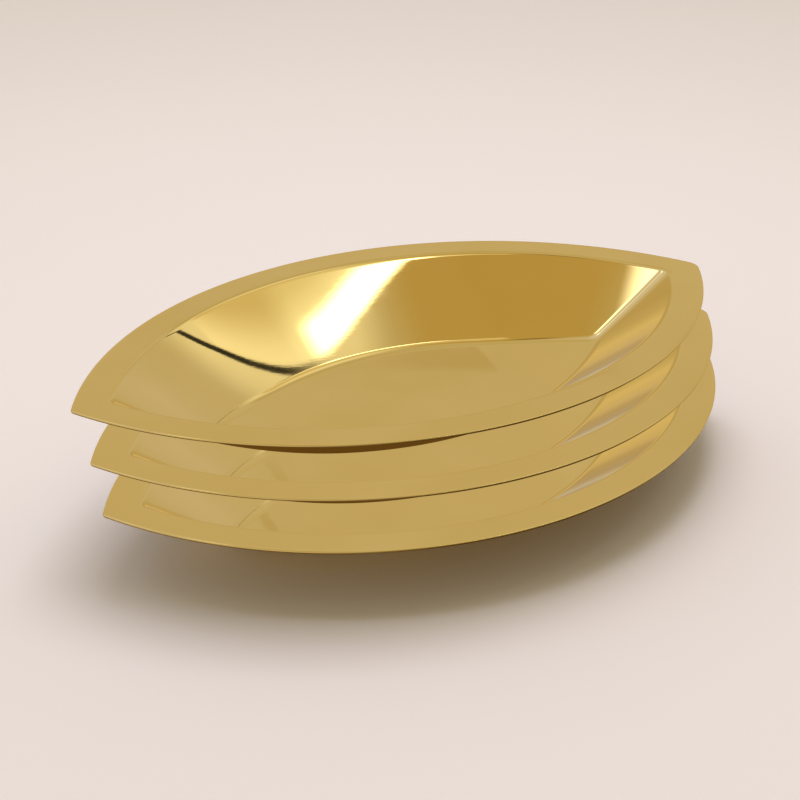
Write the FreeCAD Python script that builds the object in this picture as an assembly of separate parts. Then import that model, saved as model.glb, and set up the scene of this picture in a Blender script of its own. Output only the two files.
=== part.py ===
import FreeCAD, Part
import math
import os

os.makedirs("parts", exist_ok=True)

# ---------------------------------------------------------------------------
# Stack of three pressed, boat-shaped offering plates (mm).
# The bottom plate rests on z = 0 and is centred on x = 0, y = 0.
# X runs along the plates, tip to tip; Y runs across them; Z is up.
# ---------------------------------------------------------------------------

# plan outline: two equal circular arcs meeting at the tips, which are rounded
HALF_LENGTH = 150.0
HALF_WIDTH = 91.5
TIP_RADIUS_LEFT = 3.0
TIP_RADIUS_RIGHT = 8.0

# pressed section, measured on the upper face of the sheet
SHEET = 1.2
DEPTH = 30.0
FLANGE_WIDTH = 12.5
BEND_RADIUS = 4.0
WALL_ANGLE = 39.5
FOOT_RADIUS = 7.0
VALLEY_RADIUS = 8.0
EDGE_ROUND = 0.5

# the flat of the floor ends here; beyond it the floor curves gently upwards
FLOOR_FLAT = 46.0
ROCKER_RADIUS = 300.0

# stacking: height from one plate to the next, and how far each of the upper
# plates lies off the plate at the bottom of the stack
STACK_PITCH = 23.0
MIDDLE_OFFSET = (-2.7, 1.5)
TOP_OFFSET = (-7.7, 4.4)

# derived sizes
ARC_RADIUS = (HALF_LENGTH ** 2 + HALF_WIDTH ** 2) / (2.0 * HALF_WIDTH)
ARC_CENTRE = ARC_RADIUS - HALF_WIDTH
RIM_TOP = DEPTH + SHEET
THETA = math.radians(WALL_ANGLE)


def vec(r, z):
    return FreeCAD.Vector(r, 0.0, z)


def revolved_above(offset, r_out):
    """Solid of everything above one face of the flange, bend and wall.

    offset 0 is the upper face of the sheet, offset SHEET its lower face; the
    lower face is the upper one moved square to itself, so the sheet keeps one
    thickness. The wall runs straight on down past the floor, and the floor is
    cut in afterwards. Radii are measured from the outline arc's own centre.
    """
    s = math.sin(THETA)
    c = math.cos(THETA)
    h = 0.5 * THETA
    z_rim = RIM_TOP - offset
    r_bend = ARC_RADIUS - FLANGE_WIDTH
    bend = BEND_RADIUS - offset
    z_axis = RIM_TOP - BEND_RADIUS
    flange_in = vec(r_bend, z_rim)
    bend_mid = vec(r_bend - bend * math.sin(h), z_axis + bend * math.cos(h))
    wall_top = vec(r_bend - bend * s, z_axis + bend * c)
    z_low = -12.0
    wall_low = vec(wall_top.x - (wall_top.z - z_low) / math.tan(THETA), z_low)
    z_cap = RIM_TOP + 10.0
    edges = [
        Part.makeLine(vec(0.0, z_low), wall_low),
        Part.makeLine(wall_low, wall_top),
        Part.Arc(wall_top, bend_mid, flange_in).toShape(),
        Part.makeLine(flange_in, vec(r_out, z_rim)),
        Part.makeLine(vec(r_out, z_rim), vec(r_out, z_cap)),
        Part.makeLine(vec(r_out, z_cap), vec(0.0, z_cap)),
        Part.makeLine(vec(0.0, z_cap), vec(0.0, z_low)),
    ]
    face = Part.Face(Part.Wire(edges))
    axis = FreeCAD.Vector(0.0, 0.0, 1.0)
    return face.revolve(FreeCAD.Vector(0.0, 0.0, 0.0), axis, 360.0)


def lens_of(solid):
    """Overlap of one solid of revolution standing on each of the two arc centres."""
    front = solid.copy()
    front.translate(FreeCAD.Vector(0.0, ARC_CENTRE, 0.0))
    back = solid.copy()
    back.translate(FreeCAD.Vector(0.0, -ARC_CENTRE, 0.0))
    return front.common(back)


def above_floor(offset):
    """Block above the floor: flat in the middle, curving up towards both tips."""
    z_floor = SHEET - offset
    radius = ROCKER_RADIUS + offset
    turn = math.radians(24.0)
    x_end = FLOOR_FLAT + radius * math.sin(turn)
    z_end = z_floor + radius * (1.0 - math.cos(turn))
    x_mid = FLOOR_FLAT + radius * math.sin(0.5 * turn)
    z_mid = z_floor + radius * (1.0 - math.cos(0.5 * turn))
    z_cap = RIM_TOP + 30.0
    edges = [
        Part.makeLine(vec(-FLOOR_FLAT, z_floor), vec(FLOOR_FLAT, z_floor)),
        Part.Arc(vec(FLOOR_FLAT, z_floor), vec(x_mid, z_mid), vec(x_end, z_end)).toShape(),
        Part.makeLine(vec(x_end, z_end), vec(x_end, z_cap)),
        Part.makeLine(vec(x_end, z_cap), vec(-x_end, z_cap)),
        Part.makeLine(vec(-x_end, z_cap), vec(-x_end, z_end)),
        Part.Arc(vec(-x_end, z_end), vec(-x_mid, z_mid), vec(-FLOOR_FLAT, z_floor)).toShape(),
    ]
    face = Part.Face(Part.Wire(edges))
    block = face.extrude(FreeCAD.Vector(0.0, 400.0, 0.0))
    block.translate(FreeCAD.Vector(0.0, -200.0, 0.0))
    return block


def valleys_rounded(solid, radius):
    """Round the two valleys where the front wall meets the back wall."""
    valley = []
    for edge in solid.Edges:
        start = edge.valueAt(edge.FirstParameter)
        end = edge.valueAt(edge.LastParameter)
        mid = edge.valueAt(0.5 * (edge.FirstParameter + edge.LastParameter))
        on_plane = max(abs(start.y), abs(mid.y), abs(end.y)) < 0.001
        below_rim = max(start.z, end.z) < RIM_TOP + 1.0
        sloping = abs(start.z - end.z) > 0.001
        if on_plane and below_rim and sloping:
            valley.append(edge)
    return solid.makeFillet(radius, valley)


def foot_rounded(solid, radius):
    """Round the foot of the wall, all the way round the floor."""
    foot = []
    for edge in solid.Edges:
        box = edge.BoundBox
        if box.ZMax > 0.5 * RIM_TOP:
            continue
        start = edge.valueAt(edge.FirstParameter)
        end = edge.valueAt(edge.LastParameter)
        across = abs(start.x - end.x) < 0.001 and abs(abs(start.x) - FLOOR_FLAT) < 0.001
        if not across:
            foot.append(edge)
    return solid.makeFillet(radius, foot)


def lens_outline(height):
    """Upright prism of the whole plan outline, its two tips rounded."""
    disc = Part.makeCylinder(ARC_RADIUS, height)
    prism = lens_of(disc)
    for sign, radius in ((-1.0, TIP_RADIUS_LEFT), (1.0, TIP_RADIUS_RIGHT)):
        tips = []
        for edge in prism.Edges:
            box = edge.BoundBox
            upright = box.ZLength > height - 1.0
            if upright and abs(box.Center.x - sign * HALF_LENGTH) < 1.0:
                tips.append(edge)
        prism = prism.makeFillet(radius, tips)
    return prism


def sheet_face(offset):
    """Everything above one face of the finished pressing, all corners rounded."""
    raised = lens_of(revolved_above(offset, ARC_RADIUS + 8.0 - offset))
    solid = raised.common(above_floor(offset)).removeSplitter()
    solid = valleys_rounded(solid, VALLEY_RADIUS + offset)
    return foot_rounded(solid, FOOT_RADIUS + offset)


def on_outline(edge):
    """True for an edge that lies on the outer outline of the plate."""
    mid = edge.valueAt(0.5 * (edge.FirstParameter + edge.LastParameter))
    reach = math.hypot(mid.x, abs(mid.y) + ARC_CENTRE)
    return reach > ARC_RADIUS - 3.0


def make_plate():
    """One pressed plate: flat flange, convex bend, sloping wall, floor."""
    blank = lens_outline(RIM_TOP)
    plate = sheet_face(SHEET).common(blank).cut(sheet_face(0.0))
    plate = plate.removeSplitter()
    rim = []
    for edge in plate.Edges:
        box = edge.BoundBox
        flat = box.ZLength < 0.01
        upper = abs(box.ZMax - RIM_TOP) < 0.01
        lower = abs(box.ZMax - (RIM_TOP - SHEET)) < 0.01
        if flat and (upper or lower) and on_outline(edge):
            rim.append(edge)
    return plate.makeFillet(EDGE_ROUND, rim)


def placed(shape, offset, level):
    plate = shape.copy()
    plate.translate(FreeCAD.Vector(offset[0], offset[1], level * STACK_PITCH))
    return plate


PLATE = make_plate()

# root of the stack, resting on the table
placed(PLATE, (0.0, 0.0), 0).exportStep("parts/bottom_plate.step")

# second plate, lifts off the bottom plate
placed(PLATE, MIDDLE_OFFSET, 1).exportStep("parts/middle_plate.step")

# third plate, lifts off the middle plate
placed(PLATE, TOP_OFFSET, 2).exportStep("parts/top_plate.step")

print("arc radius", ARC_RADIUS, "volume cm3", PLATE.Volume / 1000.0)
print("valid", PLATE.isValid(), "solids", len(PLATE.Solids), "faces", len(PLATE.Faces))
print("edges rounded at the rim, box", PLATE.optimalBoundingBox(False))
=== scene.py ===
import math

import bpy
from mathutils import Matrix, Vector, noise


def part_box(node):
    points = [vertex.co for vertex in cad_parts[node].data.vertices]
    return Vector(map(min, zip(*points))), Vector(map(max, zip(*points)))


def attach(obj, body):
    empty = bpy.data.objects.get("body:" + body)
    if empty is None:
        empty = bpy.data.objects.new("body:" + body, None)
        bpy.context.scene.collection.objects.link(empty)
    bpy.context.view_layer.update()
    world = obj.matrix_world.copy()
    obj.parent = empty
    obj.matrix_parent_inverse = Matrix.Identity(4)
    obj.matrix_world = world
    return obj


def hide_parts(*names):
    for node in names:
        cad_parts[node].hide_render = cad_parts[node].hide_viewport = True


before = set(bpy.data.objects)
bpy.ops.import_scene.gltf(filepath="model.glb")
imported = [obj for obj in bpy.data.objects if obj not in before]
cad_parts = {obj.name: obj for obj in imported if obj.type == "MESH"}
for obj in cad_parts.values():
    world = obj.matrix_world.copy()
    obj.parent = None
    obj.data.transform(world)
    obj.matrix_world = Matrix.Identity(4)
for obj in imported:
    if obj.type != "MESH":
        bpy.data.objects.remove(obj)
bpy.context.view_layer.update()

# ---------------------------------------------------------------------------
# sizes of one plate, in millimetres, the same as the CAD part's
# ---------------------------------------------------------------------------
MM = 0.001
PLATES = ("bottom_plate", "middle_plate", "top_plate")
HALF_LENGTH = 150.0         # to where the two arcs of the outline would meet
HALF_WIDTH = 91.5
TIP_RADIUS_LEFT = 3.0
TIP_RADIUS_RIGHT = 8.0
SHEET = 1.2
DEPTH = 30.0
FLANGE_WIDTH = 12.5
BEND_RADIUS = 4.0
WALL_ANGLE = math.radians(39.5)
FOOT_RADIUS = 7.0
VALLEY_BLEND = 4.0          # of the front and back insets, in the two end valleys
EDGE_ROUND = 0.5
FLOOR_FLAT = 46.0           # the floor is flat up to here, left and right of the centre
ROCKER_RADIUS = 300.0
RIM_TOP = DEPTH + SHEET
ARC_RADIUS = (HALF_LENGTH ** 2 + HALF_WIDTH ** 2) / (2 * HALF_WIDTH)
ARC_CENTRE = ARC_RADIUS - HALF_WIDTH
SKIN = 0.06                 # how far the drawn faces lie inside the CAD solid


def smooth_min(a, b, blend):
    h = max(blend - abs(a - b), 0.0) / blend
    return min(a, b) - 0.25 * blend * h * h


def smooth_max(a, b, blend):
    return -smooth_min(-a, -b, blend)


class Face:
    """Height of one face of the sheet, `offset` below the upper face."""

    def __init__(self, offset):
        self.top = RIM_TOP - offset
        self.bend = BEND_RADIUS - offset
        self.bend_end = FLANGE_WIDTH + self.bend * math.sin(WALL_ANGLE)
        self.wall_top = self.top - self.bend * (1 - math.cos(WALL_ANGLE))
        self.floor = SHEET - offset
        self.rocker = ROCKER_RADIUS + offset
        # the blend that cuts a corner as deep as a fillet of this radius does
        half = math.cos(WALL_ANGLE / 2)
        self.foot_blend = 4 * (FOOT_RADIUS + offset) * (1 / half - 1) / half
        self.valley_blend = VALLEY_BLEND + offset

    def inset(self, x, y):
        """Distance in from the outline, with the two end valleys blended."""
        front = ARC_RADIUS - math.hypot(x, y - ARC_CENTRE)
        back = ARC_RADIUS - math.hypot(x, y + ARC_CENTRE)
        return smooth_min(front, back, self.valley_blend)

    def height(self, x, y):
        d = self.inset(x, y)
        if d <= FLANGE_WIDTH:
            return self.top
        if d <= self.bend_end:
            return self.top - self.bend + math.sqrt(self.bend ** 2 - (d - FLANGE_WIDTH) ** 2)
        wall = self.wall_top - (d - self.bend_end) * math.tan(WALL_ANGLE)
        past = max(abs(x) - FLOOR_FLAT, 0.0)
        floor = self.floor + self.rocker - math.sqrt(self.rocker ** 2 - past ** 2)
        return smooth_max(wall, floor, self.foot_blend)


UPPER = Face(0.0)
LOWER = Face(SHEET)

# the faint unevenness that pressing and buffing leave in the sheet
WAVE_LENGTHS = (46.0, 30.0)
WAVE_SLICE = 2.6            # which slice of the noise is taken
WAVE_HEIGHT = 0.006
RIPPLE_HEIGHT = 0.002
RIPPLES_PER_WAVE = 3.1
CALM_EDGE = 2.0             # there is none of it this close to the edge
CALM_FADE = 20.0            # and all of it this much further in


def forming(x, y, face):
    """Height in mm of the unevenness, which fades out towards the edge."""
    at = Vector((x / WAVE_LENGTHS[0], y / WAVE_LENGTHS[1], WAVE_SLICE))
    wave = WAVE_HEIGHT * noise.noise(at) + RIPPLE_HEIGHT * noise.noise(at * RIPPLES_PER_WAVE)
    return wave * min(max((face.inset(x, y) - CALM_EDGE) / CALM_FADE, 0.0), 1.0)


def upper_height(x, y):
    return UPPER.height(x, y) - SKIN + forming(x, y, UPPER)


def lower_height(x, y):
    return LOWER.height(x, y) + SKIN + forming(x, y, LOWER)


# ---------------------------------------------------------------------------
# mesh of one plate, as closed loops of points from the centre out and back
# ---------------------------------------------------------------------------
PER_SIDE = 300              # points along the front or the back of a loop
RING_POINTS = 2 * PER_SIDE
TIP_CROWDING = 0.55         # 0 spaces points evenly; more moves them towards the tips
EDGE_STEPS = 6
FOOT_OUTSIDE = 11.0         # the fine loops start this far outside the wall's foot
FOOT_INSIDE = 4.0           # and end this far inside it
CENTRE_GAP = 1.5            # no loop comes this close to the long axis


def tip_point(x_side, side, past, d):
    """A point on the rounded tip; `past` runs from 0 at its start to 1 on the long axis."""
    radius = TIP_RADIUS_RIGHT if x_side > 0 else TIP_RADIUS_LEFT
    centre = math.sqrt((ARC_RADIUS - radius) ** 2 - ARC_CENTRE ** 2)
    turn = (1 - past) * (math.pi / 2 - math.atan2(centre, ARC_CENTRE))
    reach = radius - d
    return x_side * (centre + reach * math.cos(turn)), side * reach * math.sin(turn)


def ring(d, height_at):
    """One closed loop of points at inset d, closer together towards the tips."""
    radius = ARC_RADIUS - d
    half = math.acos(min(ARC_CENTRE / radius, 1.0))
    points = []
    for side in (1, -1):
        for i in range(PER_SIDE):
            v = -1 + 2 * i / PER_SIDE
            crowded = (1 - TIP_CROWDING) * v + TIP_CROWDING * math.sin(math.pi / 2 * v)
            phi = side * half * crowded
            x_side = 1 if phi > 0 else -1
            tip = TIP_RADIUS_RIGHT if x_side > 0 else TIP_RADIUS_LEFT
            start = math.acos(ARC_CENTRE / (ARC_RADIUS - tip))
            if d < tip and abs(phi) > start:
                x, y = tip_point(x_side, side, (abs(phi) - start) / (half - start), d)
            else:
                x = radius * math.sin(phi)
                y = side * (radius * math.cos(phi) - ARC_CENTRE)
            points.append((x, y, height_at(x, y)))
    return points


def steps(start, end, count):
    """count values from start towards end, end left out."""
    return [start + (end - start) * i / count for i in range(count)]


FOOT_INSET = UPPER.bend_end + (UPPER.wall_top - SHEET) / math.tan(WALL_ANGLE)
INSETS = (
    steps(EDGE_ROUND + SKIN, FLANGE_WIDTH, 10)
    + steps(FLANGE_WIDTH, UPPER.bend_end, 14)
    + steps(UPPER.bend_end, FOOT_INSET - FOOT_OUTSIDE, 34)
    + steps(FOOT_INSET - FOOT_OUTSIDE, FOOT_INSET + FOOT_INSIDE, 60)
    + steps(FOOT_INSET + FOOT_INSIDE, HALF_WIDTH - CENTRE_GAP, 16)
)


def edge_loops():
    """Loops round the sheet's rounded edge, from the upper face down to the lower one."""
    turns = [math.pi / 2 * i / EDGE_STEPS for i in range(EDGE_STEPS + 1)]
    profile = [(1 - math.sin(a), RIM_TOP - SKIN - EDGE_ROUND * (1 - math.cos(a)))
               for a in turns[1:]]
    profile += [(1 - math.cos(a), RIM_TOP - SHEET + SKIN + EDGE_ROUND * (1 - math.sin(a)))
                for a in turns]
    return [ring(SKIN + EDGE_ROUND * inward, lambda x, y, z=z: z) for inward, z in profile]


def plate_mesh(name):
    loops = [ring(d, upper_height) for d in reversed(INSETS)]
    loops += edge_loops()
    loops += [ring(d, lower_height) for d in INSETS[1:]]

    # a fan of triangles at the centre of each face, and a band between each two loops
    n = RING_POINTS
    verts = [(0.0, 0.0, upper_height(0.0, 0.0))]
    for loop in loops:
        verts.extend(loop)
    verts.append((0.0, 0.0, lower_height(0.0, 0.0)))
    faces = [(0, 1 + i, 1 + (i + 1) % n) for i in range(n)]
    for k in range(len(loops) - 1):
        a, b = 1 + k * n, 1 + (k + 1) * n
        faces.extend((a + i, b + i, b + (i + 1) % n, a + (i + 1) % n) for i in range(n))
    last, base = len(verts) - 1, 1 + (len(loops) - 1) * n
    faces.extend((last, base + (i + 1) % n, base + i) for i in range(n))

    mesh = bpy.data.meshes.new(name)
    mesh.from_pydata([tuple(MM * c for c in v) for v in verts], [], faces)
    # the polish ends one loop below the straight part of the edge
    polished = n * (1 + len(INSETS) + EDGE_STEPS + 1)
    for index, polygon in enumerate(mesh.polygons):
        polygon.use_smooth = True
        polygon.material_index = 0 if index < polished else 1
    mesh.update()
    return mesh


# ---------------------------------------------------------------------------
# polished brass, with a satin underside
# ---------------------------------------------------------------------------
class Nodes:
    """Adds nodes to a node tree and joins them up."""

    def __init__(self, tree):
        self.tree = tree

    def add(self, kind, inputs=None, **settings):
        made = self.tree.nodes.new(kind)
        for key, value in settings.items():
            setattr(made, key, value)
        for key, value in (inputs or {}).items():
            self.put(made.inputs[key], value)
        return made

    def put(self, socket, value):
        if isinstance(value, bpy.types.NodeSocket):
            self.tree.links.new(value, socket)
        else:
            socket.default_value = value

    def noise(self, where, scale, detail, roughness=0.5):
        made = self.add("ShaderNodeTexNoise", {
            "Vector": where, "Scale": scale, "Detail": detail, "Roughness": roughness})
        return made.outputs["Fac"]

    def ramp(self, value, stops):
        made = self.add("ShaderNodeValToRGB", {"Fac": value})
        elements = made.color_ramp.elements
        while len(elements) < len(stops):
            elements.new(0.5)
        for element, (position, color) in zip(elements, stops):
            element.position = position
            element.color = (*color, 1)
        return made.outputs["Color"]

    def fade(self, value, start, end, first, last):
        """A smooth step from first to last as value goes from start to end."""
        made = self.add("ShaderNodeMapRange", {
            "Value": value, "From Min": start, "From Max": end, "To Min": first, "To Max": last},
            interpolation_type="SMOOTHSTEP")
        return made.outputs["Result"]

    def math(self, operation, *values):
        return self.add("ShaderNodeMath", dict(enumerate(values)), operation=operation).outputs[0]


# scale, detail and, for the haze, roughness of each noise; scales are per metre
TONE_NOISE = (22.0, 3.0)
TONE_RANGE = (0.30, 0.72)   # the part of the noise that runs from dark to light
HAZE_NOISE = (60.0, 6.0, 0.6)
HAZE_RANGE = (0.30, 0.70)
SCRATCH_SCALES = (60.0, 2200.0, 900.0)
SCRATCH_TURN = 0.35         # radians, of the noise under the stretched coordinates
SCRATCH_NOISE = (1.0, 4.0)
SCRATCH_DEPTH = 0.0002
EDGE_ON_TINT = (0.93, 0.80, 0.50, 1.0)


def brass_material(name, dark, light, smoothest, roughest, scratch):
    mat = bpy.data.materials.new(name)
    mat.use_nodes = True
    mat.node_tree.nodes.clear()
    n = Nodes(mat.node_tree)
    where = n.add("ShaderNodeTexCoord").outputs["Object"]
    color = n.ramp(n.noise(where, *TONE_NOISE), list(zip(TONE_RANGE, (dark, light))))
    haze = n.noise(where, *HAZE_NOISE)
    roughness = n.fade(haze, *HAZE_RANGE, smoothest, roughest)
    stretch = n.add("ShaderNodeMapping", {
        "Vector": where, "Scale": SCRATCH_SCALES, "Rotation": (0.0, 0.0, SCRATCH_TURN)})
    lines = n.noise(stretch.outputs["Vector"], *SCRATCH_NOISE)
    bump = n.add("ShaderNodeBump", {
        "Height": lines, "Strength": scratch, "Distance": SCRATCH_DEPTH})
    bsdf = n.add("ShaderNodeBsdfPrincipled", {
        "Metallic": 1.0, "Base Color": color, "Roughness": roughness,
        "Specular Tint": EDGE_ON_TINT, "Normal": bump.outputs["Normal"]})
    n.add("ShaderNodeOutputMaterial", {"Surface": bsdf.outputs[0]})
    return mat


POLISHED = brass_material(
    "polished_brass", dark=(0.85, 0.66, 0.27), light=(0.89, 0.70, 0.31),
    smoothest=0.010, roughest=0.028, scratch=0.004)
SATIN = brass_material(
    "satin_brass_underside", dark=(0.80, 0.60, 0.24), light=(0.86, 0.66, 0.29),
    smoothest=0.30, roughest=0.42, scratch=0.10)

# Each plate mirrors only the studio, as in the photo: all three are kept out of
# mirror rays.
PLATE_MESH = plate_mesh("plate_pressing")
PLATE_MESH.materials.append(POLISHED)
PLATE_MESH.materials.append(SATIN)
ROOT_CORNER = Vector(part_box("bottom_plate")[0])
for name in PLATES:
    piece = bpy.data.objects.new(name + "_polished", PLATE_MESH.copy())
    piece.location = Vector(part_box(name)[0]) - ROOT_CORNER
    bpy.context.scene.collection.objects.link(piece)
    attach(piece, name)
    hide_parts(name)
    piece.visible_glossy = False


# ---------------------------------------------------------------------------
# studio floor, of pale paper
# ---------------------------------------------------------------------------
FLOOR_HALF = 4.0
PAPER_NOISE = (3.0, 2.0)
PAPER_TONES = [(0.0, (0.85, 0.83, 0.85)), (1.0, (0.87, 0.85, 0.87))]
PAPER_ROUGHNESS = 0.9
PAPER_SHINE = 0.1


def paper_material(name):
    mat = bpy.data.materials.new(name)
    mat.use_nodes = True
    n = Nodes(mat.node_tree)
    bsdf = mat.node_tree.nodes["Principled BSDF"]
    bsdf.inputs["Roughness"].default_value = PAPER_ROUGHNESS
    bsdf.inputs["Specular IOR Level"].default_value = PAPER_SHINE
    where = n.add("ShaderNodeTexCoord").outputs["Object"]
    n.put(bsdf.inputs["Base Color"], n.ramp(n.noise(where, *PAPER_NOISE), PAPER_TONES))
    return mat


floor_mesh = bpy.data.meshes.new("studio_floor")
floor_mesh.from_pydata(
    [(-FLOOR_HALF, -FLOOR_HALF, 0), (FLOOR_HALF, -FLOOR_HALF, 0),
     (FLOOR_HALF, FLOOR_HALF, 0), (-FLOOR_HALF, FLOOR_HALF, 0)], [], [(0, 1, 2, 3)])
floor_mesh.materials.append(paper_material("pale_paper"))
floor = bpy.data.objects.new("studio_floor", floor_mesh)
bpy.context.scene.collection.objects.link(floor)
floor.visible_glossy = False


# ---------------------------------------------------------------------------
# studio surroundings, as brightness by direction
# ---------------------------------------------------------------------------
def direction(azimuth, elevation):
    """Unit vector; azimuth in degrees from +Y clockwise seen from above."""
    a, e = math.radians(azimuth), math.radians(elevation)
    return Vector((math.sin(a) * math.cos(e), math.cos(a) * math.cos(e), math.sin(e)))


class Sky(Nodes):
    """Layers of soft light laid one over another, each by direction in degrees."""

    def __init__(self, tree):
        super().__init__(tree)
        self.way = self.add("ShaderNodeTexCoord").outputs["Generated"]
        self.color = None

    def dot(self, vector):
        made = self.add("ShaderNodeVectorMath", {0: self.way, 1: tuple(vector)},
                        operation="DOT_PRODUCT")
        return made.outputs["Value"]

    def angle(self, azimuth, elevation):
        """Degrees between the direction looked in and the one given."""
        cosine = self.dot(direction(azimuth, elevation))
        return self.math("DEGREES", self.math("ARCCOSINE", cosine))

    def within(self, value, solid, edge):
        """1 where value is below `solid`, fading to 0 at `edge`."""
        return self.fade(value, solid, edge, 1.0, 0.0)

    def disc(self, azimuth, elevation, solid, edge):
        """1 within `solid` degrees of a direction, 0 beyond `edge` degrees."""
        return self.within(self.angle(azimuth, elevation), solid, edge)

    def polygon(self, corners, softness):
        """1 inside the flat-sided patch between the corner directions; one softness per side."""
        ways = [direction(*corner) for corner in corners]
        middle = sum(ways, Vector())
        mask = None
        for i, soft in enumerate(softness):
            side = ways[i].cross(ways[(i + 1) % len(ways)]).normalized()
            if side.dot(middle) < 0:
                side = -side
            reach = math.sin(math.radians(soft / 2))
            inside = self.fade(self.dot(side), -reach, reach, 0.0, 1.0)
            mask = inside if mask is None else self.math("MINIMUM", mask, inside)
        return mask

    def both(self, *masks):
        result = masks[0]
        for mask in masks[1:]:
            result = self.math("MULTIPLY", result, mask)
        return result

    def lay(self, mask, color, how="MIX"):
        made = self.add("ShaderNodeMix", data_type="RGBA", blend_type=how)
        self.put(made.inputs[0], mask)
        self.put(made.inputs[6], self.color)
        self.put(made.inputs[7], (*color, 1))
        self.color = made.outputs[2]


BLACK = (0.0, 0.0, 0.0)
# from straight down, at 0, to straight up, at 1; the horizon is at 0.5 and the
# backdrop's top edge, 41 degrees up, at 0.83
SURROUNDINGS = [
    (0.23, (0.15, 0.09, 0.03)),
    (0.30, (0.60, 0.52, 0.38)),
    (0.34, (0.50, 0.42, 0.29)),
    (0.385, (0.55, 0.46, 0.32)),
    (0.415, (0.70, 0.61, 0.46)),
    (0.46, (0.78, 0.69, 0.52)),
    (0.50, (0.62, 0.54, 0.39)),
    (0.54, (0.57, 0.48, 0.33)),
    (0.62, (0.57, 0.49, 0.34)),
    (0.66, (0.63, 0.57, 0.49)),
    (0.69, (0.64, 0.58, 0.51)),
    (0.72, (0.62, 0.55, 0.44)),
    (0.75, (0.62, 0.54, 0.40)),
    (0.815, (0.635, 0.575, 0.45)),
    (0.835, (0.57, 0.49, 0.31)),
    (1.00, (0.60, 0.52, 0.34)),
]

# Round patches are given as azimuth, elevation, and the degrees to where they
# are whole and to where they end: here the dim side of the room, its darkest
# part low down, a pale screen, and warm ceiling.
ROOM = [
    ((160, -5, 35, 70), (0.25, 0.19, 0.10)),
    ((150, -38, 24, 42), (0.05, 0.03, 0.01)),
    ((-28, 50, 16, 30), (0.72, 0.69, 0.73)),
    ((-160, 83, 15, 25), (0.53, 0.39, 0.15)),
]
CEILING_GAP = (0, 81, 1, 6)
GAP_DARKNESS = 0.55
# two small lights to the left of the diffuser
SMALL_LIGHTS = [
    ((-63, 67.5, 2, 6.5), (2.2, 2.2, 2.2)),
    ((-23, 57, 1, 6), (1.5, 1.6, 2.0)),
]
# a darker strip low on the backdrop, and the degrees over which each side fades
STRIP_CORNERS = [(28.5, 25.05), (28.5, 25.85), (36.5, 25.85), (36.5, 25.05)]
STRIP_SOFTNESS = [3, 0.25, 2, 0.4]
STRIP_COLOR = (0.57, 0.49, 0.34)

# The big round diffuser: a warm cloth in a thin dark hoop, lit from behind near
# its edge. A START and a DEPTH are degrees in from the edge: a layer begins and
# is whole at the first, and it is whole up to and ends at the second. An ARC is
# the round patch that keeps a layer to one stretch of the edge.
DIFFUSER_CENTRE = (39.7, 63.3)
DIFFUSER_RADIUS = 35.95
CLOTH_START = (0.0, 0.35)
CLOTH_DEPTH = (7.0, 14.0)
CLOTH_ARC = (120, 60, 29.5, 31.5)
CLOTH_COLOR = (0.74, 0.62, 0.36)
HALO_START = (-3.2, -0.1)
HALO_STRENGTH = 0.9
HALO_ARC = (100, 48, 16, 27)
HALO_COLOR = (0.97, 0.91, 0.74)
GLOW_DEPTH = (0.3, 2.6)
GLOW_COLOR = (0.38, 0.44, 0.50)
HOT_DEPTH = (1.0, 4.5)
HOT_ARC = (122, 60, 9, 17)
HOT_COLOR = (0.24, 0.28, 0.28)
LAMP_DEPTH = (1.0, 1.6)
LAMP_ARC = (128, 63, 11, 17)
LAMP_COLOR = (4.4, 4.2, 3.9)
HOOP_OUTSIDE = 0.03
HOOP_HALF_WIDTH = (0.12, 0.24)
HOOP_DARKNESS = 0.96
HOOP_ARC = (80, 36.5, 15, 32)


def lay_diffuser(sky):
    depth = sky.math("SUBTRACT", DIFFUSER_RADIUS, sky.angle(*DIFFUSER_CENTRE))
    cloth = sky.both(
        sky.fade(depth, *CLOTH_START, 0.0, 1.0), sky.within(depth, *CLOTH_DEPTH),
        sky.disc(*CLOTH_ARC))
    halo = sky.both(sky.fade(depth, *HALO_START, 0.0, HALO_STRENGTH), sky.disc(*HALO_ARC))
    glow = sky.both(sky.within(depth, *GLOW_DEPTH), cloth)
    hot = sky.both(sky.within(depth, *HOT_DEPTH), cloth, sky.disc(*HOT_ARC))
    lamp = sky.both(sky.within(depth, *LAMP_DEPTH), cloth, sky.disc(*LAMP_ARC))
    from_hoop = sky.math("ABSOLUTE", sky.math("ADD", depth, HOOP_OUTSIDE))
    hoop = sky.both(
        sky.fade(from_hoop, *HOOP_HALF_WIDTH, HOOP_DARKNESS, 0.0), sky.disc(*HOOP_ARC))
    sky.lay(halo, HALO_COLOR)
    sky.lay(cloth, CLOTH_COLOR)
    sky.lay(glow, GLOW_COLOR, "ADD")
    sky.lay(hot, HOT_COLOR, "ADD")
    sky.lay(lamp, LAMP_COLOR)
    sky.lay(hoop, BLACK)


def studio_world(name):
    world = bpy.data.worlds.new(name)
    world.use_nodes = True
    sky = Sky(world.node_tree)
    up_part = sky.add("ShaderNodeSeparateXYZ", {0: sky.way}).outputs["Z"]
    sky.color = sky.ramp(sky.math("MULTIPLY_ADD", up_part, 0.5, 0.5), SURROUNDINGS)
    for patch, color in ROOM:
        sky.lay(sky.disc(*patch), color)
    sky.lay(sky.both(sky.disc(*CEILING_GAP), GAP_DARKNESS), BLACK)
    lay_diffuser(sky)
    sky.lay(sky.polygon(STRIP_CORNERS, STRIP_SOFTNESS), STRIP_COLOR)
    for patch, color in SMALL_LIGHTS:
        sky.lay(sky.disc(*patch), color)
    sky.put(world.node_tree.nodes["Background"].inputs["Color"], sky.color)
    return world


bpy.context.scene.world = studio_world("studio")

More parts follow.
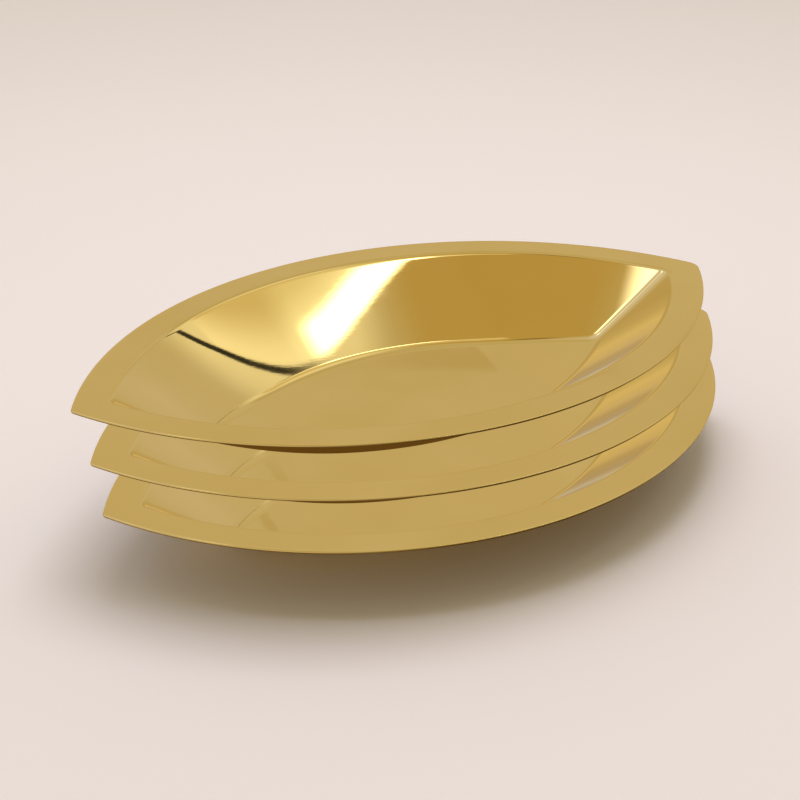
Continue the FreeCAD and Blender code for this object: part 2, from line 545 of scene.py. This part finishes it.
# the distances of the softbox and the camera are in metres, as in the frame
SOFTBOX_WAY = direction(30, 82)
SOFTBOX_TARGET = Vector((0, 0, 0.06))
SOFTBOX_DISTANCE = 1.25
SOFTBOX_SIDE = 0.7
SOFTBOX_POWER = 8.2
SOFTBOX_COLOR = (0.94, 0.89, 1.0)


def softbox(name):
    """A softbox aimed at the stack that lights the floor and keeps out of the mirror."""
    data = bpy.data.lights.new(name, "AREA")
    data.shape = "SQUARE"
    data.size = SOFTBOX_SIDE
    data.energy = SOFTBOX_POWER
    data.color = SOFTBOX_COLOR
    lamp = bpy.data.objects.new(name, data)
    lamp.location = SOFTBOX_TARGET + SOFTBOX_WAY * SOFTBOX_DISTANCE
    lamp.rotation_mode = "QUATERNION"
    lamp.rotation_quaternion = (-SOFTBOX_WAY).to_track_quat("-Z", "Y")
    lamp.visible_glossy = False
    bpy.context.scene.collection.objects.link(lamp)


softbox("top_softbox")

# ---------------------------------------------------------------------------
# camera
# ---------------------------------------------------------------------------
CAMERA_AZIMUTH = 209.29     # the front left of the stack
CAMERA_ELEVATION = 26.89
CAMERA_DISTANCE = 0.754
CAMERA_LENS = 81.0
SENSOR = 36.0
CLIP_START, CLIP_END = 0.01, 50.0
ASIDE, BELOW = 0.00456, 0.02904    # where the lens axis passes, from the top plate's centre

back = direction(CAMERA_AZIMUTH, CAMERA_ELEVATION)
right = direction(CAMERA_AZIMUTH - 90, 0)
up = back.cross(right)
top_centre = Vector(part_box("top_plate")[0]) - ROOT_CORNER + Vector((0, 0, MM * RIM_TOP))
camera_data = bpy.data.cameras.new("camera")
camera_data.sensor_width = SENSOR
camera_data.lens = CAMERA_LENS
camera_data.clip_start = CLIP_START
camera_data.clip_end = CLIP_END
camera = bpy.data.objects.new("camera", camera_data)
bpy.context.scene.collection.objects.link(camera)
camera.location = top_centre + back * CAMERA_DISTANCE - right * ASIDE - up * BELOW
camera.rotation_mode = "QUATERNION"
camera.rotation_quaternion = Matrix((right, up, back)).transposed().to_quaternion()
bpy.context.scene.camera = camera

bpy.context.scene.view_settings.view_transform = "Standard"
bpy.context.scene.cycles.glossy_bounces = 10
